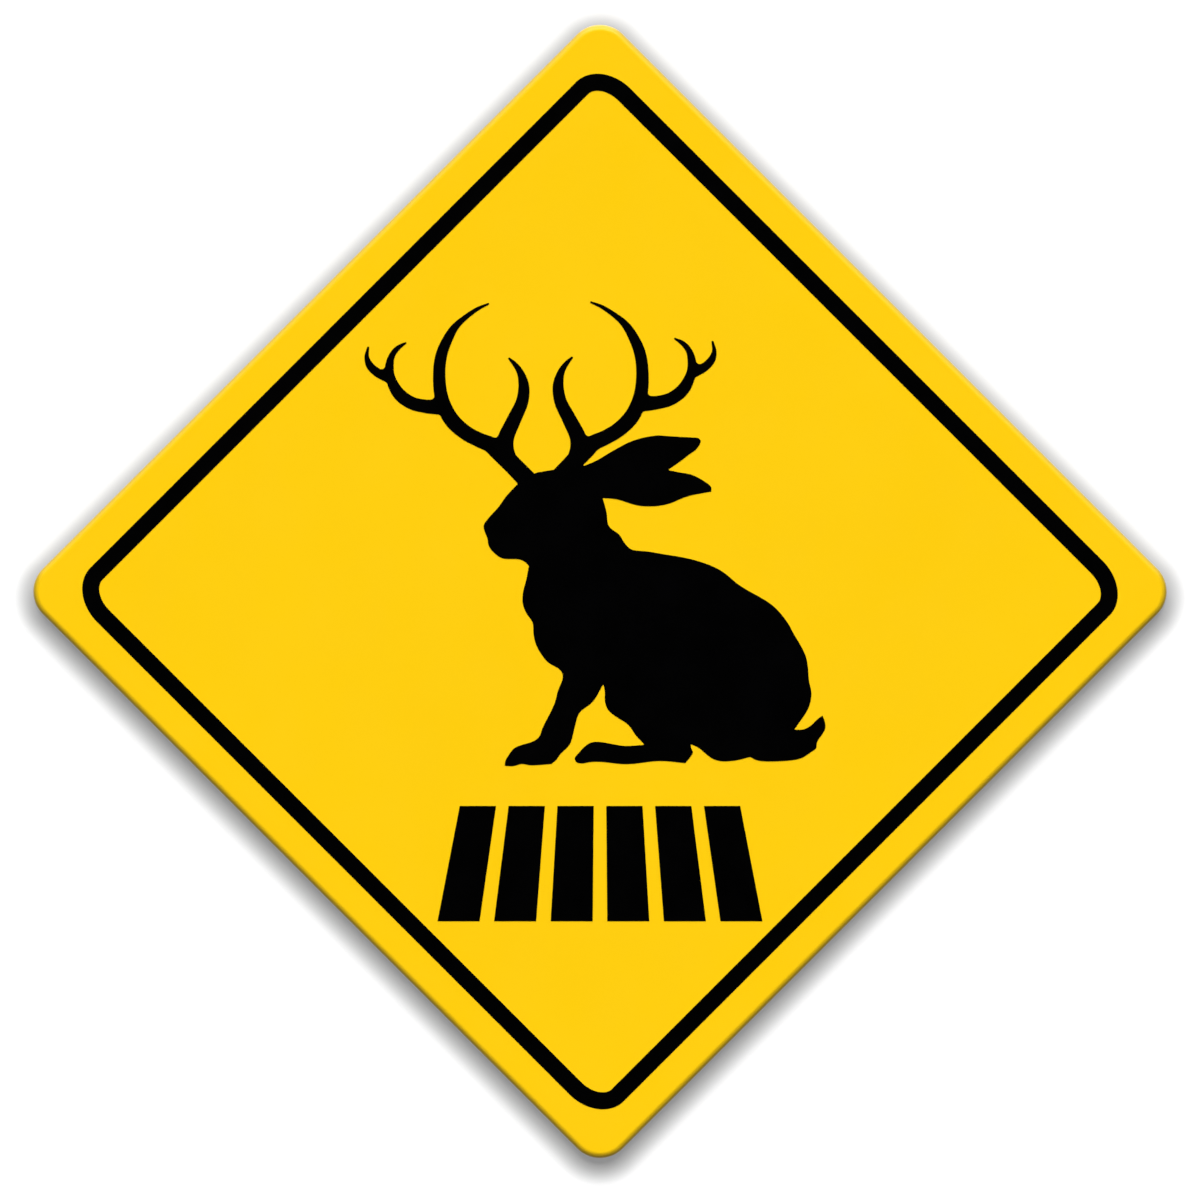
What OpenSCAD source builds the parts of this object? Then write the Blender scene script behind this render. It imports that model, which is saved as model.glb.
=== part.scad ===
// Novelty crossing sign: a square metal plate that hangs on one corner, with a yellow front
// and three fields of black print: a border line, an antlered hare and a row of crossing bars.
// The origin is the middle of the plate's back face. +Z is up and the front faces -Y.

/* [Plate] */
// Side of the square plate, edge to edge
plate_side = 304.8; // [260:0.1:400]
// Thickness of the plate
plate_t = 3.2; // [3:0.1:6]
// Radius of the four corners, seen from the front
corner_r = 12; // [6:0.5:30]
// Radius of the rounded-over front edge
edge_round = 2.5; // [0.5:0.1:2.6]
// Chamfer that takes the burr off the back edge
back_chamfer = 0.25; // [0.1:0.05:0.35]

/* [Print] */
// Thickness of the printed ink
ink_t = 0.1; // [0.05:0.01:0.3]
// Smallest radius that the print leaves in the figure's inner corners
ink_fillet = 0.25; // [0.15:0.05:0.8]

/* [Border line] */
// Distance from the plate's edge to the line
border_inset = 12.4; // [5:0.1:18]
// Width of the line
border_w = 6.3; // [3:0.1:9]
// Reach of the line's corner curve along the sides that fall to the right
border_curve_long = 16; // [12.5:0.5:20]
// Reach of the same curve along the sides that rise to the right
border_curve_short = 12.5; // [11:0.5:18]

/* [Figure] */
// Height of the hare's soles below the plate's middle
soles_below_middle = 64.8; // [50:0.1:75]
// Clearance between the outermost antler point and the border line
figure_clearance = 8.4; // [4:0.1:20]
// Radius of the rounds in the crotches of the antlers
crotch_r = 1.3; // [0.8:0.1:1.8]

/* [Crossing bars] */
// Number of bars
bars_n = 6; // [3:1:9]
// Height of the row of bars
bars_h = 42.8; // [25:0.1:50]
// Gap between the hare's soles and the bars
bars_below_soles = 14.8; // [6:0.1:20]
// Clearance between the lowest outer corners of the row and the border line
bars_clearance = 4.5; // [2:0.1:10]
// Gap between two bars, measured along the foot of the row
bar_gap = 5.4; // [3:0.1:9]
// Height above the plate's middle at which the bars' edges would meet
bars_vanish_above = 190; // [40:1:400]

/* [Hidden] */

plate_yellow = [1, 0.81, 0.08];
ink_black = [0.02, 0.02, 0.02];

// Facets of a quarter turn in the border line's corner curves
quarter_steps = 20;
// Facets between two points of a drawn curve
curve_steps = 5;
// Facets of a full turn in the rounds of the figure's inner corners
fillet_facets = 16;
// Facets of a full turn in the plate's own rounds
round_facets = 96;

// The straight run of each plate side, between its two corner rounds
straight = plate_side - 2 * corner_r;

// The border line's outer and inner edges, as distances from the middle to a side,
// and the inner edge's reach from the middle to its corner
border_out = plate_side / 2 - border_inset;
border_in = border_out - border_w;
panel_reach = border_in * sqrt(2);

// The levels of the hare's soles and of the bars
soles_z = -soles_below_middle;
bars_top = soles_z - bars_below_soles;
bars_foot = bars_top - bars_h;
bars_half_w = panel_reach + bars_foot - bars_clearance * sqrt(2);

// The antlers mirror each other about a line through the crown of the head. The line
// leans to the left by a small angle, so the right antler stands a little higher.
crown_middle = [-21.4, 45];
antler_lean = 0.92;

// How far a spline's tangent leans towards its nearer neighbour: 0.5 keeps it from
// looping where two points lie close together
knot_power = 0.5;

function knot(a, b) = pow(norm(b - a), knot_power);

// The slope of the spline at b, on its way from a to c
function slope(a, b, c) =
    (b - a) / knot(a, b) - (c - a) / (knot(a, b) + knot(b, c)) + (c - b) / knot(b, c);

// A point of the cubic from b to c, at t from 0 to 1, with its neighbours a and d
function cubic_point(a, b, c, d, t) =
    let (k = knot(b, c), mb = slope(a, b, c) * k, mc = slope(b, c, d) * k)
    b * (2 * t ^ 3 - 3 * t ^ 2 + 1) + mb * (t ^ 3 - 2 * t ^ 2 + t)
    + c * (3 * t ^ 2 - 2 * t ^ 3) + mc * (t ^ 3 - t ^ 2);

// A smooth curve through a stretch of points. Its two ends run straight, so two stretches
// that share a point meet there in a corner. The last point is left to the next stretch.
function stretch(p) =
    let (last = len(p) - 1)
    [for (i = [0 : last - 1], s = [0 : curve_steps - 1])
        cubic_point(
            i == 0 ? 2 * p[0] - p[1] : p[i - 1], p[i], p[i + 1],
            i + 1 == last ? 2 * p[last] - p[last - 1] : p[i + 2],
            s / curve_steps
        )];

// The hare in profile, drawn in millimetres about the plate's middle. It sits, looks left
// and lays its ears back. Each stretch runs from one corner of the outline to the next.
brow_to_jaw = [
    [-30.5, 40], [-34.5, 35.8], [-37.6, 31.5], [-41.2, 27.5], [-43.2, 24.4], [-41.8, 19.6],
    [-41.4, 17.3], [-40.2, 15.3], [-36.4, 12.4], [-30.4, 12], [-28.1, 11.2], [-26.4, 9.6]
];
throat_to_toe = [
    [-26.4, 9.6], [-27.3, 4.8], [-28.6, -0.5], [-28.7, -4.4], [-27.4, -7.9], [-25, -11.6],
    [-24.7, -15.4], [-23.7, -19.8], [-19.6, -26], [-15, -28.9], [-13.9, -30.8],
    [-14, -32.8], [-15.6, -36.8], [-16.9, -41.6], [-21.5, -51], [-22.5, -53.8],
    [-24.6, -55.5], [-31.6, -58], [-34.1, -61], [-35.1, -62.8], [-35.4, -64.7]
];
forepaw_sole = [
    [-35.4, -64.7], [-32.2, -64.8], [-29, -64], [-25.8, -64.5], [-18, -64]
];
foreleg_back = [
    [-18, -64], [-16.1, -62.3], [-14.6, -60.2], [-11.2, -56.7], [-9.2, -49.6],
    [-7.7, -45.1], [-2.6, -40.8], [1.3, -34.2]
];
belly = [
    [1.3, -34.2], [1.8, -37.3], [1.8, -40.4], [2.6, -43.3], [4.5, -45.4], [10.6, -49.6],
    [13.4, -53.5], [16.6, -56.9]
];
hind_foot = [
    [16.6, -56.9], [9, -57.3], [-0.4, -55.8], [-3.4, -56.1], [-5.6, -57.5], [-7.7, -59.7],
    [-9.4, -62], [-8.6, -63.4], [-6.8, -63.8], [-3.5, -63.3], [0, -63.2], [10, -64.1],
    [22, -62.9], [31.7, -63.7]
];
heel = [
    [31.7, -63.7], [34.5, -59.8], [33.9, -58.2], [33.6, -56.6]
];
haunch = [
    [33.6, -56.6], [36.6, -58], [38.8, -59.8], [41.7, -62], [45, -63], [50.4, -62.7],
    [55.8, -61.4]
];
rump_to_tail_tip = [
    [55.8, -61.4], [57.8, -62.5], [60.3, -63], [70.8, -62.7], [74.9, -61.8], [78.2, -59.7],
    [80.2, -58.2], [80.6, -55.9], [83.6, -51], [83.5, -48.4], [82.6, -46]
];
tail_top = [
    [82.6, -46], [80.4, -47.7], [78.6, -49.5], [75.8, -51.1], [72.1, -51.3]
];
back_to_neck = [
    [72.1, -51.3], [77.4, -43.2], [78.5, -38], [77.6, -33], [77.2, -28], [76.4, -24],
    [74.5, -20], [71.9, -15.6], [69.3, -11], [63.9, -5], [52, 2.2], [44.4, 8.1], [35.1, 11.7],
    [23.6, 13.9], [17.5, 14.9], [11.6, 15.7], [9, 18.2], [7.2, 21.1], [3.3, 24.3],
    [2.4, 29.6], [1, 34.7]
];
far_ear_below = [
    [1, 34.7], [6, 34.3], [15, 31.8], [24, 32.2], [33, 35.5], [41.3, 37.1]
];
far_ear_above = [
    [41.3, 37.1], [41.3, 38.7], [39.8, 40.2], [34.3, 43.3], [29.8, 44.2], [25.2, 45.1]
];
near_ear = [
    [25.2, 45.1], [30.3, 48.7], [33, 50.8], [35.9, 53], [37.4, 55.9], [36.4, 57], [34, 57.2],
    [27, 57.6], [20.5, 57.9], [12.2, 56], [4.5, 52.1], [-1.2, 48.7], [-7.1, 46.2]
];
crown = [
    [-7.1, 46.2], [-17.4, 45.2], [-20.9, 44.6], [-24.2, 43.9], [-30.5, 40]
];

hare_outline = concat(
    stretch(brow_to_jaw), stretch(throat_to_toe), stretch(forepaw_sole),
    stretch(foreleg_back), stretch(belly), stretch(hind_foot), stretch(heel),
    stretch(haunch), stretch(rump_to_tail_tip), stretch(tail_top), stretch(back_to_neck),
    stretch(far_ear_below), stretch(far_ear_above), stretch(near_ear), stretch(crown)
);

// The left antler. Each branch is a band swept along a curve: every point gives
// its place and the band's width there, so that the branch tapers to its tip.
main_beam = [
    [-25.6, 40, 7.2], [-31.7, 46.3, 6.8], [-37.7, 52.2, 6.8], [-41, 54.7, 5.9],
    [-44.6, 56.2, 5.5], [-50, 59.1, 5.5], [-55.4, 64.2, 5.7], [-58.7, 71.6, 5.1],
    [-59.7, 80, 4.6], [-58.9, 87.8, 4.3], [-56, 94.8, 3.5], [-53.9, 98.1, 2.8],
    [-51.1, 100.9, 2.1], [-45.6, 104.9, 1.4], [-41.5, 106.8, 0.7]
];
brow_tine = [
    [-35.6, 50.2, 9], [-35.5, 53.7, 7], [-34.9, 57.2, 6], [-31.8, 64.1, 5.2],
    [-28.9, 70.6, 4.6], [-28.3, 76.4, 4], [-29.6, 81.4, 2.6], [-31.7, 84.5, 1.7],
    [-33.7, 86.5, 0.8]
];
back_branch = [
    [-59, 68.6, 6], [-64.8, 68.8, 5], [-70.1, 70.1, 4.8], [-74.8, 73.6, 4.6],
    [-77.8, 79.4, 3.6], [-78.2, 83.6, 3.2], [-77.2, 87.7, 2.3], [-75.1, 90.4, 1.8],
    [-72.2, 92.3, 0.7]
];
outer_tine = [
    [-77.8, 79.4, 4.4], [-82.6, 81.3, 3.3], [-85.5, 84, 2.8], [-86.6, 87.2, 1.7],
    [-86.1, 90.6, 0.8]
];

// The edge of a branch, on its left at side = 1 and on its right at side = -1
function branch_edge(c, side) =
    let (last = len(c) - 1)
    [for (i = [0 : last])
        let (
            along = c[min(i + 1, last)] - c[max(i - 1, 0)],
            across = [-along.y, along.x] / norm([along.x, along.y])
        )
        [c[i].x, c[i].y] + across * side * c[i].z / 2];

// The closed outline of a branch that is swept along its curve
function branch(p) =
    let (
        c = concat(stretch(p), [p[len(p) - 1]]),
        left = branch_edge(c, 1),
        right = branch_edge(c, -1)
    )
    concat(left, [for (i = [len(right) - 1 : -1 : 0]) right[i]]);

branches = [main_beam, brow_tine, back_branch, outer_tine];
branch_tips = [for (p = branches) p[len(p) - 1]];

// The figure grows until its outermost antler point keeps its clearance from the border
// line. The reach of a point is its distance left and up, measured from the drawn soles.
drawn_soles_z = -64.8;
figure_reach = max([
    for (p = branches, edge = branch(p)) edge.y - edge.x,
    for (tip = branch_tips) tip.y - tip.x + tip.z / sqrt(2)
]) - drawn_soles_z;
figure_scale = (panel_reach - figure_clearance * sqrt(2) - soles_z) / figure_reach;

// Stands a shape that is drawn flat, front up, on its corner: the front then faces -Y
module hung_up() {
    rotate([90, 0, 0])
        children();
}

// A field of ink on the plate's front, from a flat drawing
module ink() {
    color(ink_black)
        hung_up()
            translate([0, 0, plate_t])
                linear_extrude(ink_t)
                    children();
}

// The section of the plate's rim, outwards from the axis of a corner round: the front
// edge is rounded over and the back edge has a small chamfer
module rim_section() {
    difference() {
        polygon([
            [0, 0], [corner_r - back_chamfer, 0], [corner_r, back_chamfer],
            [corner_r, plate_t], [0, plate_t]
        ]);
        translate([corner_r - edge_round, plate_t - edge_round])
            difference() {
                square(2 * edge_round);
                circle(edge_round, $fn = round_facets);
            }
    }
}

module rim_side() {
    translate([straight / 2, straight / 2, 0])
        rotate([90, 0, 0])
            linear_extrude(straight)
                rim_section();
}

module rim_corner() {
    translate([straight / 2, straight / 2, 0])
        rotate_extrude(angle = 90, $fn = round_facets)
            rim_section();
}

module sign_plate() {
    color(plate_yellow)
        hung_up()
            rotate(45) {
                translate([-straight / 2, -straight / 2, 0])
                    cube([straight, straight, plate_t]);
                for (quarter = [0 : 3])
                    rotate(90 * quarter) {
                        rim_side();
                        rim_corner();
                    }
            }
}

// One edge of the border line, set in from its outer edge by a distance. The corner
// curves are quarter ellipses, and the inner edge keeps the line's width all round.
function border_edge(in) =
    [for (quarter = [0 : 3], s = [0 : quarter_steps])
        let (
            a = 90 * (quarter + s / quarter_steps),
            x_side = quarter == 0 || quarter == 3 ? 1 : -1,
            y_side = quarter < 2 ? 1 : -1,
            middle = [
                x_side * (border_out - border_curve_short),
                y_side * (border_out - border_curve_long)
            ],
            outward = [cos(a) * border_curve_long, sin(a) * border_curve_short]
        )
        middle + [cos(a) * border_curve_short, sin(a) * border_curve_long]
        - in * outward / norm(outward)];

module border_line() {
    ink()
        rotate(45)
            difference() {
                polygon(border_edge(0));
                polygon(border_edge(border_w));
            }
}

// The left antler: its branches with rounded tips, and rounds in its crotches
module antler() {
    offset(r = -crotch_r, $fn = fillet_facets)
        offset(delta = crotch_r)
            for (i = [0 : len(branches) - 1]) {
                polygon(branch(branches[i]));
                translate([branch_tips[i].x, branch_tips[i].y])
                    circle(d = branch_tips[i].z, $fn = fillet_facets);
            }
}

module antler_pair() {
    antler();
    translate(crown_middle)
        mirror([cos(antler_lean), sin(antler_lean)])
            translate(-crown_middle)
                antler();
}

module antlered_hare() {
    ink()
        offset(r = -ink_fillet, $fn = fillet_facets)
            offset(delta = ink_fillet)
                translate([0, soles_z])
                    scale(figure_scale)
                        translate([0, -drawn_soles_z]) {
                            polygon(hare_outline);
                            antler_pair();
                        }
}

// The bars' edges all aim at one point above the row, as the stripes of a crossing do
// when they are seen from the kerb
function towards_vanishing(x, z) =
    [x * (bars_vanish_above - z) / (bars_vanish_above - bars_foot), z];

module crossing_bars() {
    bar_w = (2 * bars_half_w - (bars_n - 1) * bar_gap) / bars_n;
    ink()
        for (i = [0 : bars_n - 1]) {
            left = -bars_half_w + i * (bar_w + bar_gap);
            right = left + bar_w;
            polygon([
                [left, bars_foot], [right, bars_foot],
                towards_vanishing(right, bars_top), towards_vanishing(left, bars_top)
            ]);
        }
}

sign_plate();
border_line();
antlered_hare();
crossing_bars();
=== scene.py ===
# %% [markdown]
# # A novelty crossing sign
#
# The object is one flat square of sheet aluminium that hangs on its corner. Its front is
# painted yellow and its back is left bare. On the yellow lie three fields of black screen
# print: a border line, a hare with antlers, and a row of crossing bars.
#
# The solid model gives every size and place. This lesson gives it its looks, in this order:
# the plate's surface, the paint and the metal, the ink, the studio, the light and the camera.

# %% Load the solid model as the fixed frame
import math

import bpy
import numpy as np
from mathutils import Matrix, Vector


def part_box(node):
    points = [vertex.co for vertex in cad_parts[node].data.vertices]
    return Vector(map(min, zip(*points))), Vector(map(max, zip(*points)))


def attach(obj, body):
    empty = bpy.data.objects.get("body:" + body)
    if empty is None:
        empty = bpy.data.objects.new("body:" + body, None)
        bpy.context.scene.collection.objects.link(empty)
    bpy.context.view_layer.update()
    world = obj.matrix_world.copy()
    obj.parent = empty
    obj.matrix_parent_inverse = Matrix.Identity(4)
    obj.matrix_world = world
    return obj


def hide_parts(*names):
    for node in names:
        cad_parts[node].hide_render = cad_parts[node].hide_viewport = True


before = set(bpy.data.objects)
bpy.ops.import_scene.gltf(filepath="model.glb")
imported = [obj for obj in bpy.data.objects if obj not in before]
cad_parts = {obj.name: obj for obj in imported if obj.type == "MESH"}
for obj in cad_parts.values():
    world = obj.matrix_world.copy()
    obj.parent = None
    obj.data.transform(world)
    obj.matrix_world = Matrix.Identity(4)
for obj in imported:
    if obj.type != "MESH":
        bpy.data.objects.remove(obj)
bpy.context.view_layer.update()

# %% [markdown]
# ## Sizes
#
# The plate's box gives its thickness and its reach, which is half of the upright diagonal. The
# rounds aren't in the box, so the three of them are repeated here from the solid model, in
# metres. A square with rounded corners reaches less far than a sharp one, by a share of the
# corner's radius, and that gives the length of its side.

# %% Read the plate's sizes
MM = 0.001
plate_low, plate_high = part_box("sign_plate")
plate_t = plate_high.y - plate_low.y
reach = plate_high.z

corner_r = 12 * MM
edge_round = 2.5 * MM
back_chamfer = 0.25 * MM

half_side = (reach + corner_r * (math.sqrt(2) - 1)) / math.sqrt(2)
inner_half = half_side - corner_r
print(f"side {2 * half_side / MM:.1f} mm, thickness {plate_t / MM:.1f} mm, reach {reach / MM:.1f} mm")

# %% [markdown]
# ## The plate as a profile carried along a path
#
# The sheet's edge has one section all the way round: a flat front that rolls over into a short
# wall, and a small chamfer at the back. A bevel modifier could roll a plain slab over, but it
# gives no say over where its rows of faces lie. So the whole skin is worked out as one grid.
#
# Each column of the grid is a place on the outline. It hangs from a point of a smaller sharp
# square, and its arm turns through 90 degrees at each corner of that square. Each row is a
# place on the section, and gives the arm's length and the depth of the skin there. The arm
# makes the corners round, and it makes them smaller, as they should be, further in.
#
# In the flat of the front and of the back, the rows draw in to a pole in the middle.

# %% The columns: anchors on the inner square and the directions of their arms
CORNER_STEPS = 28
SIDE_STEPS = 36


def outline_columns():
    """The columns of the skin. An arm's turn grows by 90 degrees over each corner and rests
    along the side that follows. Its anchor stays at the inner square's corner while it turns,
    and then slides to the next one: anchor = corner + share * (next corner - corner)."""
    quarter = np.repeat(np.arange(4), CORNER_STEPS + SIDE_STEPS)
    corner_share = np.linspace(0, 1, CORNER_STEPS, endpoint=False)
    side_share = np.linspace(0, 1, SIDE_STEPS, endpoint=False)
    turned = np.tile(np.concatenate([corner_share, np.ones(SIDE_STEPS)]), 4)
    slid = np.tile(np.concatenate([np.zeros(CORNER_STEPS), side_share]), 4)
    turn = (quarter + turned) * math.pi / 2

    corners = inner_half * np.array([[1, 1], [-1, 1], [-1, -1], [1, -1], [1, 1]])
    start, end = corners[quarter], corners[quarter + 1]
    anchor = start + slid[:, None] * (end - start)
    arm = np.stack([np.cos(turn), np.sin(turn)], axis=1)
    return anchor, arm


anchor, arm = outline_columns()
print(len(anchor), "columns round the plate")

# %% [markdown]
# The rows are close together where the section bends and beside each bend. The close rows
# beside a bend matter: smooth shading blends the direction of a face with its neighbour's, and
# a narrow row next to the bend keeps that blend from spreading over the flat of the sheet.

# %% The rows: draw-in, length of the arm and height over the back
ROUND_STEPS = 18
FLAT_STEPS = 20
KEEP_FLAT = 0.12 * MM


def section_rows():
    """The rows of the skin, from the front pole to the back pole. In the flats the arm is
    short and the whole ring is drawn in by a share. On the rolled rim the arm's length is
    corner_r - edge_round + edge_round * sin(t), and the height is
    plate_t - edge_round + edge_round * cos(t), for t from 0 to 90 degrees. How far a row is
    rolled over is t as a share of those 90 degrees, and stays at 1 on the wall and behind."""
    t = np.linspace(0, math.pi / 2, ROUND_STEPS + 1)
    rim_arm = corner_r - edge_round + edge_round * np.sin(t)
    rim_height = plate_t - edge_round + edge_round * np.cos(t)

    short_arm = corner_r / 3
    draw_in = np.linspace(0, 1, FLAT_STEPS + 1)[1:]
    front_arm = [corner_r / 2, rim_arm[0] - KEEP_FLAT]
    wall_arm = [corner_r, corner_r, corner_r - back_chamfer]
    wall_height = [back_chamfer + KEEP_FLAT, back_chamfer, 0]
    back_arm = [corner_r - back_chamfer - KEEP_FLAT, corner_r / 2]

    full_rings = len(front_arm) + len(t) + len(wall_arm) + len(back_arm)
    front_rings = FLAT_STEPS + len(front_arm)
    back_rings = len(back_arm) + FLAT_STEPS
    share = np.concatenate([draw_in, np.ones(full_rings), draw_in[::-1]])
    length = np.concatenate([
        np.full(FLAT_STEPS, short_arm), front_arm, rim_arm, wall_arm, back_arm,
        np.full(FLAT_STEPS, short_arm),
    ])
    height = np.concatenate([
        np.full(front_rings, plate_t), rim_height, wall_height, np.zeros(back_rings),
    ])
    rolled = np.concatenate([
        np.zeros(front_rings), t / t[-1], np.ones(len(wall_height) + back_rings),
    ])
    return share, length, height, rolled


share, length, height, rolled = section_rows()
print(len(share), "rows across the section")

# %% [markdown]
# The grid is drawn flat and then hung up: its first axis and its second turn by 45 degrees
# to stand the square on its corner, and its height goes towards the viewer, who looks
# along +Y. The faces come from the numbers of the grid's points, a whole array at a time.

# %% Put the skin together and hand the plate over to it


def hung(flat_xy, height):
    """Points of the upright sign from a flat drawing: x and z turn by 45 degrees, y = -height."""
    c = math.sqrt(0.5)
    x, y = flat_xy[..., 0], flat_xy[..., 1]
    return np.stack([c * (x - y), -height, c * (x + y)], axis=-1)


def skin_of_plate():
    """Grid point = share * (anchor + length * arm), at the row's height, plus the two poles.
    Neighbouring rows are joined by four-sided faces, and the first and last row by a fan."""
    ring = anchor[None] + length[:, None, None] * arm[None]
    grid = hung(share[:, None, None] * ring, np.broadcast_to(height[:, None], ring.shape[:2]))
    rows, columns = grid.shape[:2]
    poles = hung(np.zeros((2, 2)), np.array([plate_t, 0]))
    points = np.concatenate([grid.reshape(-1, 3), poles])

    number = np.arange(rows * columns).reshape(rows, columns)
    after = np.roll(number, -1, axis=1)
    quads = np.stack([number[:-1], number[1:], after[1:], after[:-1]], axis=-1).reshape(-1, 4)
    front_pole, back_pole = rows * columns, rows * columns + 1
    front_fan = np.stack([np.full(columns, front_pole), number[0], after[0]], axis=-1)
    back_fan = np.stack([number[-1], np.full(columns, back_pole), after[-1]], axis=-1)

    mesh = bpy.data.meshes.new("painted_plate")
    mesh.from_pydata(points.tolist(), [], quads.tolist() + front_fan.tolist() + back_fan.tolist())
    mesh.update()
    over = mesh.attributes.new("rolled_over", "FLOAT", "POINT")
    over.data.foreach_set("value", np.concatenate([np.repeat(rolled, columns), [0, 1]]))
    return mesh


SHARPER_THAN = math.radians(30)

plate_mesh = skin_of_plate()
plate_mesh.shade_smooth()
plate_mesh.set_sharp_from_angle(angle=SHARPER_THAN)
plate = bpy.data.objects.new("painted_plate", plate_mesh)
bpy.context.scene.collection.objects.link(plate)
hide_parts("sign_plate")
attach(plate, "root")

facing = np.empty(len(plate_mesh.polygons) * 3)
plate_mesh.polygons.foreach_get("normal", facing)
centres = np.empty(len(plate_mesh.polygons) * 3)
plate_mesh.polygons.foreach_get("center", centres)
outwards = centres.reshape(-1, 3) - [0, -plate_t / 2, 0]
inside_out = (facing.reshape(-1, 3) * outwards).sum(axis=1) < 0
print(len(plate_mesh.polygons), "faces on the plate,", int(inside_out.sum()), "of them inside out")

# %% [markdown]
# ## Helpers for materials
#
# A material here is a small chain of nodes that reads the object's own coordinates, in metres,
# so that a grain keeps its real size. These helpers make a node, set its inputs and link it.
#
# A Mix node keeps its sockets for every kind of data at once. Its factor is input 0. Inputs 2
# and 3 with output 0 are for values, and inputs 6 and 7 with output 2 are for colours.

# %% Node helpers
NOISE_ROUGHNESS = 0.55


def new_material(name):
    """A material with one Principled shader, its tree and that shader."""
    material = bpy.data.materials.new(name)
    material.use_nodes = True
    tree = material.node_tree
    return material, tree, tree.nodes["Principled BSDF"]


def add(tree, kind, inputs=None, **settings):
    """A new node. settings are its own properties, and inputs are values or links by socket."""
    node = tree.nodes.new(kind)
    for name, value in settings.items():
        setattr(node, name, value)
    for socket, value in (inputs or {}).items():
        if isinstance(value, bpy.types.NodeSocket):
            tree.links.new(value, node.inputs[socket])
        else:
            node.inputs[socket].default_value = value
    return node


def place(tree, scale=(1, 1, 1), turn=(0, 0, 0)):
    """The object's coordinates, turned and then stretched, for a pattern that has a grain. It
    takes two nodes, because one Mapping node stretches before it turns."""
    here = add(tree, "ShaderNodeTexCoord").outputs["Object"]
    turned = add(tree, "ShaderNodeMapping", {"Vector": here, "Rotation": turn}).outputs["Vector"]
    return add(tree, "ShaderNodeMapping", {"Vector": turned, "Scale": scale}).outputs["Vector"]


def noise(tree, where, per_metre, detail=2.0):
    """Soft noise from 0 to 1, with about per_metre blobs in a metre."""
    made = add(
        tree, "ShaderNodeTexNoise",
        {
            "Vector": where, "Scale": per_metre, "Detail": detail,
            "Roughness": NOISE_ROUGHNESS,
        },
    )
    return made.outputs["Fac"]


def spread(tree, value, low, high, from_low=0.3, from_high=0.7):
    """Maps the middle of a noise's span to the span from low to high, and holds it there."""
    made = add(
        tree, "ShaderNodeMapRange",
        {
            "Value": value, "From Min": from_low, "From Max": from_high,
            "To Min": low, "To Max": high,
        },
    )
    return made.outputs["Result"]


def math_node(tree, operation, first, second):
    """The two values put together by a plain operation."""
    made = add(tree, "ShaderNodeMath", {0: first, 1: second}, operation=operation)
    return made.outputs["Value"]


def blend_colours(tree, factor, first, second):
    """The first colour at factor 0 and the second at factor 1."""
    made = add(tree, "ShaderNodeMix", data_type="RGBA")
    for socket, value in ((0, factor), (6, first), (7, second)):
        if isinstance(value, bpy.types.NodeSocket):
            tree.links.new(value, made.inputs[socket])
        else:
            made.inputs[socket].default_value = value
    return made.outputs[2]


def blend_values(tree, factor, first, second):
    """The first value at factor 0 and the second at factor 1."""
    made = add(tree, "ShaderNodeMix", {0: factor, 2: first, 3: second}, data_type="FLOAT")
    return made.outputs[0]


def linear(red, green, blue):
    """A colour as a screen shows it, 0 to 255, as the linear colour that a shader takes."""
    v = np.array([red, green, blue]) / 255
    v = np.where(v <= 0.04045, v / 12.92, ((v + 0.055) / 1.055) ** 2.4)
    return (*v.tolist(), 1.0)


# %% [markdown]
# ## Yellow paint on bare aluminium
#
# The front is a baked enamel: an even, warm yellow with a clean gloss. Seen close up, such
# paint has orange peel, a soft ripple about a millimetre across, and its shine varies a little
# from place to place. The paint rolls over the rim with the sheet. There its yellow is painted
# darker, a painted shade for the rim turning away from the light, and it is made less glossy
# than the face. The skin carries how far each point is rolled over, and the paint follows that.
# It ends, not quite evenly, on the short wall of the edge.
#
# The back is mill-finish aluminium. Rollers have drawn it out, so its grain is a set of long
# fine streaks along one side of the square, crossed by a few scratches from handling.
#
# One shader does both: a mask by depth, with a little noise on its border, picks the paint in
# front and the metal behind. Its shine and its metalness follow the same mask.

# %% The colours and shine of the paint, and where it ends
YELLOW = linear(255, 206, 1)
YELLOW_DEEP = linear(254, 204, 0)
# The rim's yellow is darker: painted shade for the rim turning away from the light.
YELLOW_PAINTED_RIM_SHADE = linear(194, 161, 4)
CLOUDS_PER_METRE = 14
PEEL_PER_METRE = 850
SHINE_PATCHES_PER_METRE = 45
FACE_ROUGH = (0.17, 0.23)

RIM_ROUGH = 0.40
# Where on the roll the rim's painted shade and its roughness come in.
RIM_SHADE_AND_ROUGH_WHERE_ROLLED = (0.03, 0.60)
PAINT_ENDS_AT = -0.42 * MM
PAINT_RAGGED_BY = 0.10 * MM
PAINT_EDGE_SOFT = 0.02 * MM
RAGS_PER_METRE = 260


def paint_edge(tree, here):
    """0 on the paint and 1 on the bare metal. The border lies a little in front of the back
    face, and noise moves it to and fro."""
    depth = add(tree, "ShaderNodeSeparateXYZ", {"Vector": here}).outputs["Y"]
    ragged = spread(tree, noise(tree, here, RAGS_PER_METRE), -PAINT_RAGGED_BY, PAINT_RAGGED_BY)
    edge = math_node(tree, "ADD", depth, ragged)
    starts, ends = PAINT_ENDS_AT - PAINT_EDGE_SOFT, PAINT_ENDS_AT + PAINT_EDGE_SOFT
    return spread(tree, edge, 0, 1, starts, ends)


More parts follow.
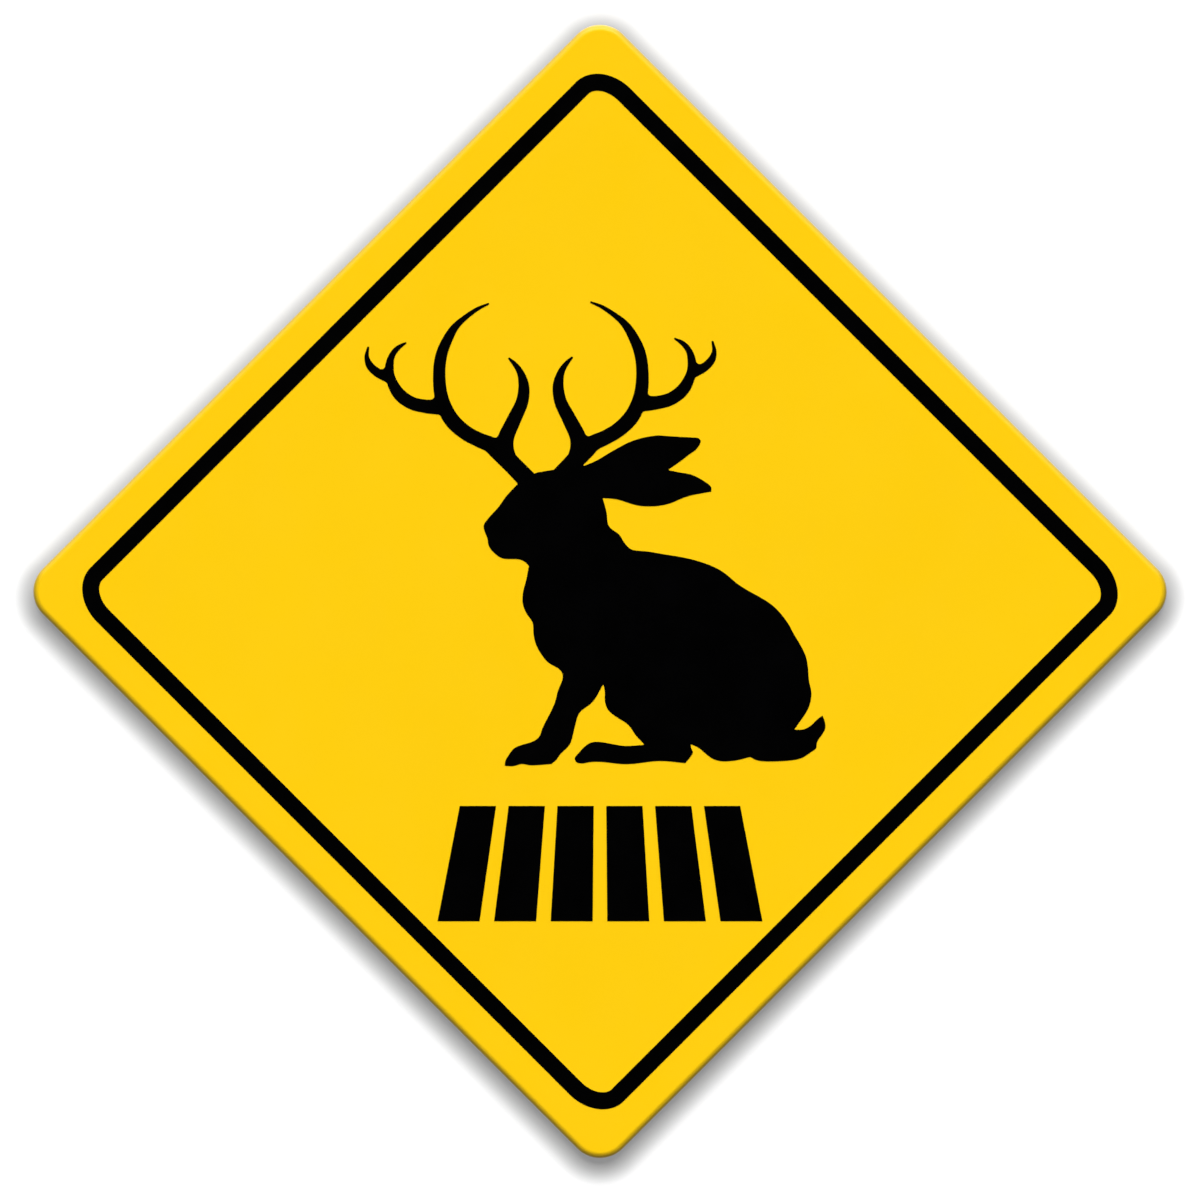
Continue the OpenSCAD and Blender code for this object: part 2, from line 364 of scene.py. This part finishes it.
def enamel_paint(tree, here):
    """The paint's colour, roughness and ripple. As the sheet rolls over, the colour goes from the
    face's to a darker yellow that is painted shade, and the roughness from the face's to the rim's."""
    clouds = spread(tree, noise(tree, here, CLOUDS_PER_METRE, 3.0), 0, 1)
    face = blend_colours(tree, clouds, YELLOW, YELLOW_DEEP)
    rolled_over = add(tree, "ShaderNodeAttribute", attribute_name="rolled_over").outputs["Fac"]
    # How far the rim is rolled over, as the mask for its painted shade and its roughness.
    rim_shade_and_rough = spread(tree, rolled_over, 0, 1, *RIM_SHADE_AND_ROUGH_WHERE_ROLLED)
    face_rough = spread(tree, noise(tree, here, SHINE_PATCHES_PER_METRE, 4.0), *FACE_ROUGH)
    rough = blend_values(tree, rim_shade_and_rough, face_rough, RIM_ROUGH)
    return blend_colours(tree, rim_shade_and_rough, face, YELLOW_PAINTED_RIM_SHADE), rough, noise(tree, here, PEEL_PER_METRE)


# %% The colours and grain of the metal
ALUMINIUM = linear(178, 180, 183)
ALUMINIUM_DARK = linear(148, 150, 154)
METAL_ROUGH = (0.34, 0.48)
STREAKS_PER_METRE = (2.2, 900, 900)
ROLLED_ALONG = math.radians(45)

SCRATCHES_PER_METRE = (45, 1200, 1200)
SCRATCHED_ALONG = math.radians(-17)
FEW_SCRATCHES = (0.70, 0.76)
SCRATCH_ROUGH = 0.22


def mill_finish(tree):
    """The metal's colour, roughness and grain. Noise that is stretched along one direction
    makes the streaks, and only the peaks of a second one make the scratches."""
    streaks = place(tree, STREAKS_PER_METRE, (0, ROLLED_ALONG, 0))
    grain = noise(tree, streaks, 1.0, 3.0)
    across = place(tree, SCRATCHES_PER_METRE, (0, SCRATCHED_ALONG, 0))
    scratches = spread(tree, noise(tree, across, 1.0, 1.0), 0, 1, *FEW_SCRATCHES)
    metal = blend_colours(tree, spread(tree, grain, 0, 1), ALUMINIUM_DARK, ALUMINIUM)
    rough = blend_values(tree, scratches, spread(tree, grain, *METAL_ROUGH), SCRATCH_ROUGH)
    return metal, rough, grain


# %% Paint and metal in one material
SURFACE_STRENGTH = 0.35
SURFACE_HEIGHT = 0.012 * MM


def painted_sheet():
    """Yellow enamel on the front and over the rim, mill-finish aluminium behind."""
    material, tree, shader = new_material("yellow_enamel_on_aluminium")
    here = place(tree)
    bare = paint_edge(tree, here)
    paint, paint_rough, peel = enamel_paint(tree, here)
    metal, metal_rough, grain = mill_finish(tree)

    tree.links.new(blend_colours(tree, bare, paint, metal), shader.inputs["Base Color"])
    tree.links.new(blend_values(tree, bare, paint_rough, metal_rough), shader.inputs["Roughness"])
    tree.links.new(bare, shader.inputs["Metallic"])

    relief = {
        "Height": blend_values(tree, bare, peel, grain), "Strength": SURFACE_STRENGTH,
        "Distance": SURFACE_HEIGHT,
    }
    bump = add(tree, "ShaderNodeBump", relief)
    tree.links.new(bump.outputs["Normal"], shader.inputs["Normal"])
    return material


enamel = painted_sheet()
plate_mesh.materials.append(enamel)
print(enamel.name, "has", len(enamel.node_tree.nodes), "nodes")

# %% [markdown]
# ## Black screen ink
#
# The ink is pressed through a woven screen. It lies on the paint as a thin film with a crisp
# edge, a shade glossier where it pooled, and a faint weave where the screen lifted off. It is
# the matt kind, so it mirrors far less than the paint, and stays black under any lamp. The
# solid model already holds the three fields at their true outline, so they stay as they are
# and only get their material.

# %% The ink's own look
INK = (0.0002, 0.0002, 0.0002, 1.0)
INK_DRY = (0.0005, 0.0005, 0.0006, 1.0)
DRY_PATCHES_PER_METRE = 60
INK_ROUGH = (0.34, 0.46)
INK_SPECULAR = 0.025

WEAVE_PITCH = 0.5 * MM
WAVE_RADIANS = 20
WEAVE_STRENGTH = 0.15
WEAVE_HEIGHT = 0.004 * MM


def screen_ink():
    """Near-black ink with a faint weave and patches of drier print. At scale 1 a wave texture
    turns by 20 radians over a metre, so threads a pitch apart need 2 * pi / (20 * pitch)."""
    material, tree, shader = new_material("black_screen_ink")
    here = place(tree)
    dry = spread(tree, noise(tree, here, DRY_PATCHES_PER_METRE, 4.0), 0, 1)
    tree.links.new(blend_colours(tree, dry, INK, INK_DRY), shader.inputs["Base Color"])
    tree.links.new(spread(tree, dry, *INK_ROUGH, 0, 1), shader.inputs["Roughness"])
    shader.inputs["Specular IOR Level"].default_value = INK_SPECULAR

    threads = {"Vector": here, "Scale": 2 * math.pi / (WAVE_RADIANS * WEAVE_PITCH)}
    warp = add(tree, "ShaderNodeTexWave", threads, bands_direction="X").outputs["Fac"]
    weft = add(tree, "ShaderNodeTexWave", threads, bands_direction="Z").outputs["Fac"]
    weave = math_node(tree, "MAXIMUM", warp, weft)
    relief = {"Height": weave, "Strength": WEAVE_STRENGTH, "Distance": WEAVE_HEIGHT}
    bump = add(tree, "ShaderNodeBump", relief)
    tree.links.new(bump.outputs["Normal"], shader.inputs["Normal"])
    return material


ink = screen_ink()
for name in ("border_line", "antlered_hare", "crossing_bars"):
    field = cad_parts[name]
    field.data.materials.clear()
    field.data.materials.append(ink)
    low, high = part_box(name)
    print(name, "is", [round((b - a) / MM, 1) for a, b in zip(low, high)], "mm")

# %% [markdown]
# ## The studio
#
# The sign hangs just in front of a white wall, above a pale floor. They show the sign's soft
# shadow and send no light back to the sign. The wall casts no shadow itself, so the suns and
# the sky reach the sign's back too. Wall and floor are seen from one side only: a camera
# behind the wall or below the floor looks through them at the sign.
#
# Wall and floor are white where nothing shades them. Most of that white is lamplight, and a
# little is added for the camera alone.
#
# The photograph's shadow is deeper next to the sign than these lamps make it, above the sign
# as well as below. So the wall is painted: it is darker inside a soft outline of the sign that
# lies a little lower, and fades to white a few millimetres outside it.

# %% White paint that is seen from one side
GAP_TO_WALL = 2.2 * MM
FLOOR_BELOW = 120 * MM
STUDIO_REACH = 6.0
GLOW = 0.15
WALL_WHITE = 0.95
FLOOR_WHITE = 0.80


def studio_white(name, white):
    """Matt white paint on the front of a face, with a glow that only the camera sees. To a
    camera behind the face it is clear."""
    material, tree, shader = new_material(name)
    shader.inputs["Base Color"].default_value = (white, white, white, 1)
    shader.inputs["Roughness"].default_value = 1.0
    shader.inputs["Specular IOR Level"].default_value = 0.0
    shader.inputs["Emission Color"].default_value = (1, 1, 1, 1)
    camera = add(tree, "ShaderNodeLightPath").outputs["Is Camera Ray"]
    tree.links.new(math_node(tree, "MULTIPLY", camera, GLOW), shader.inputs["Emission Strength"])

    behind = add(tree, "ShaderNodeNewGeometry").outputs["Backfacing"]
    clear = add(tree, "ShaderNodeBsdfTransparent").outputs["BSDF"]
    one_sided = add(
        tree, "ShaderNodeMixShader", {0: behind, 1: shader.outputs["BSDF"], 2: clear}
    )
    output = tree.nodes["Material Output"]
    tree.links.new(one_sided.outputs["Shader"], output.inputs["Surface"])
    return material, tree, shader


# %% The wall's painted shade
SHADE_LOWER_BY = 2.4 * MM
SHADE_FROM = 0.9 * MM
SHADE_TO = 10.1 * MM
SHADE_DEEPEST = 0.44


def distance_outside_sign(tree):
    """How far a point of the wall lies outside the lowered outline. With q as the distances
    past the inner square on its two axes, and none of them below zero, it is the length of q
    less the corner's radius."""
    here = add(tree, "ShaderNodeTexCoord").outputs["Object"]
    level = add(
        tree, "ShaderNodeVectorMath", {0: here, 1: (0, -wall_y, SHADE_LOWER_BY)}, operation="ADD"
    )
    turned = add(
        tree, "ShaderNodeVectorRotate", {"Vector": level.outputs["Vector"], "Angle": math.pi / 4},
        rotation_type="Y_AXIS",
    )
    folded = add(
        tree, "ShaderNodeVectorMath", {0: turned.outputs["Vector"]}, operation="ABSOLUTE"
    )
    past = add(
        tree, "ShaderNodeVectorMath",
        {0: folded.outputs["Vector"], 1: (inner_half, 0, inner_half)}, operation="SUBTRACT",
    )
    q = add(
        tree, "ShaderNodeVectorMath", {0: past.outputs["Vector"], 1: (0, 0, 0)},
        operation="MAXIMUM",
    )
    length = add(tree, "ShaderNodeVectorMath", {0: q.outputs["Vector"]}, operation="LENGTH")
    return math_node(tree, "SUBTRACT", length.outputs["Value"], corner_r)


def wall_paint():
    """White paint, darker round the lowered outline."""
    material, tree, shader = studio_white("wall_white", WALL_WHITE)
    shade = add(
        tree, "ShaderNodeMapRange",
        {
            "Value": distance_outside_sign(tree), "From Min": SHADE_FROM, "From Max": SHADE_TO,
            "To Min": SHADE_DEEPEST, "To Max": 1.0,
        },
        interpolation_type="SMOOTHSTEP",
    ).outputs["Result"]
    white = (WALL_WHITE, WALL_WHITE, WALL_WHITE, 1)
    tree.links.new(blend_colours(tree, shade, (0, 0, 0, 1), white), shader.inputs["Base Color"])
    return material


def flat_stage(name, corners, material):
    """One four-sided face with its material, linked into the scene."""
    mesh = bpy.data.meshes.new(name)
    mesh.from_pydata(corners, [], [(0, 1, 2, 3)])
    mesh.materials.append(material)
    made = bpy.data.objects.new(name, mesh)
    bpy.context.scene.collection.objects.link(made)
    return made


# %% Hang the wall and lay the floor
wall_y = plate_high.y + GAP_TO_WALL
floor_z = plate_low.z - FLOOR_BELOW
r = STUDIO_REACH
wall = flat_stage(
    "wall",
    [(-r, wall_y, floor_z), (r, wall_y, floor_z), (r, wall_y, r), (-r, wall_y, r)],
    wall_paint(),
)
wall.visible_shadow = False
wall.visible_diffuse = False
wall.visible_glossy = False
wall.visible_transmission = False
floor = flat_stage(
    "floor",
    [(-r, -r, floor_z), (r, -r, floor_z), (r, r, floor_z), (-r, r, floor_z)],
    studio_white("floor_white", FLOOR_WHITE)[0],
)
floor.visible_diffuse = False
floor.visible_glossy = False
print(f"wall at y = {wall_y / MM:.1f} mm, floor at z = {floor_z / MM:.1f} mm")

# %% [markdown]
# ## The light
#
# The photograph's light comes from high in front: the upper rims catch it, the lower rims turn
# dark, and the shadow falls below the sign. A very wide sun does this and stays even over the
# whole face, where a lamp near the sign would be brighter at the top. A weaker wide sun behind
# lights the bare back. The sky fills the rest.
#
# The sum of sun and sky on the face is close to 1, so that a colour renders as it is written:
# a sun of strength s at an angle a from the face gives s * cos(a) / pi, and a sky of strength
# k gives k. What is over 1 makes up for the light that the paint's gloss sends elsewhere.
#
# The camera sees a white sky. A shiny surface mirrors the same white behind the sign, so the
# bare back looks like metal. Low in front it mirrors the dark of the room where the
# photographer stands, and high up a broad lamp screen that is brighter than white. The screen
# takes the place of the front sun's own glint, which would burn a spot into the top corner. So
# the upper rims turn pale towards their edge and the lower rims stay deep.

# %% The two suns
KEY_SHARE = 0.76
KEY_ANGLE = math.radians(56)
KEY_WIDTH = math.radians(60)
BACK_SHARE = 0.15
BACK_ANGLE = math.radians(50)
BACK_WIDTH = math.radians(50)


def sun(name, share, from_angle, width, side):
    """A sun whose light arrives at from_angle off the face's own direction, from above. It
    gives that face share of a full light. side is -1 for the front and 1 for the back."""
    light = bpy.data.lights.new(name, "SUN")
    light.energy = share * math.pi / math.cos(from_angle)
    light.angle = width
    made = bpy.data.objects.new(name, light)
    made.rotation_euler = (math.radians(90) - from_angle, 0, 0 if side < 0 else math.pi)
    bpy.context.scene.collection.objects.link(made)
    return made


key_sun = sun("key_sun", KEY_SHARE, KEY_ANGLE, KEY_WIDTH, -1)
key_sun.visible_glossy = False
sun("back_sun", BACK_SHARE, BACK_ANGLE, BACK_WIDTH, 1)
print(f"front sun {math.degrees(KEY_ANGLE):.0f} degrees high, {KEY_SHARE:.2f} of full light")

# %% The sky, as each kind of ray sees it
FILL_ABOVE = 0.37
FILL_BELOW = 0.22
ROOM_DARK = 0.06
SCREEN_BRIGHT = 2.6
SCREEN_ABOVE = (0.35, 0.85)
WHITE_BEHIND = (0.2, 0.6)

world = bpy.data.worlds.new("studio_sky")
world.use_nodes = True
sky_tree = world.node_tree
rays = add(sky_tree, "ShaderNodeLightPath").outputs
seen = math_node(sky_tree, "MAXIMUM", rays["Is Camera Ray"], rays["Is Transmission Ray"])
towards = add(sky_tree, "ShaderNodeTexCoord").outputs["Generated"]
direction = add(sky_tree, "ShaderNodeSeparateXYZ", {"Vector": towards}).outputs
fill = spread(sky_tree, direction["Z"], FILL_BELOW, FILL_ABOVE, -1, 1)
high_up = spread(sky_tree, direction["Z"], ROOM_DARK, SCREEN_BRIGHT, *SCREEN_ABOVE)
behind = spread(sky_tree, direction["Y"], ROOM_DARK, 1.0, *WHITE_BEHIND)
mirrored = math_node(sky_tree, "MAXIMUM", high_up, behind)
unseen = blend_values(sky_tree, rays["Is Glossy Ray"], fill, mirrored)
strength = blend_values(sky_tree, seen, unseen, 1.0)
background = sky_tree.nodes["Background"]
background.inputs["Color"].default_value = (1, 1, 1, 1)
sky_tree.links.new(strength, background.inputs["Strength"])
bpy.context.scene.world = world
bpy.context.scene.view_settings.view_transform = "Standard"
print(f"light on the face: {KEY_SHARE + (FILL_ABOVE + FILL_BELOW) / 2:.2f} of full")

# %% [markdown]
# ## The camera
#
# The photograph is square on, with no visible perspective, so the camera stands three metres
# away with a long lens. The picture is 1200 pixels wide. One side of the sign covers 821 of
# them, which gives the width of the view, and the sign's middle lies 8.5 pixels above the
# picture's middle.

# %% Camera
PICTURE_PX = 1200
SIDE_PX = 821
MIDDLE_ABOVE_PX = 8.5
CAMERA_AWAY = 3.0

metres_per_px = 2 * half_side / SIDE_PX
view_width = PICTURE_PX * metres_per_px
lens = bpy.data.cameras.new("camera")
lens.lens = lens.sensor_width * CAMERA_AWAY / view_width
camera = bpy.data.objects.new("camera", lens)
camera.location = (0, plate_low.y - CAMERA_AWAY, -MIDDLE_ABOVE_PX * metres_per_px)
camera.rotation_euler = (math.radians(90), 0, 0)
bpy.context.scene.collection.objects.link(camera)
bpy.context.scene.camera = camera
print(f"view {view_width / MM:.1f} mm wide, lens {lens.lens:.0f} mm")
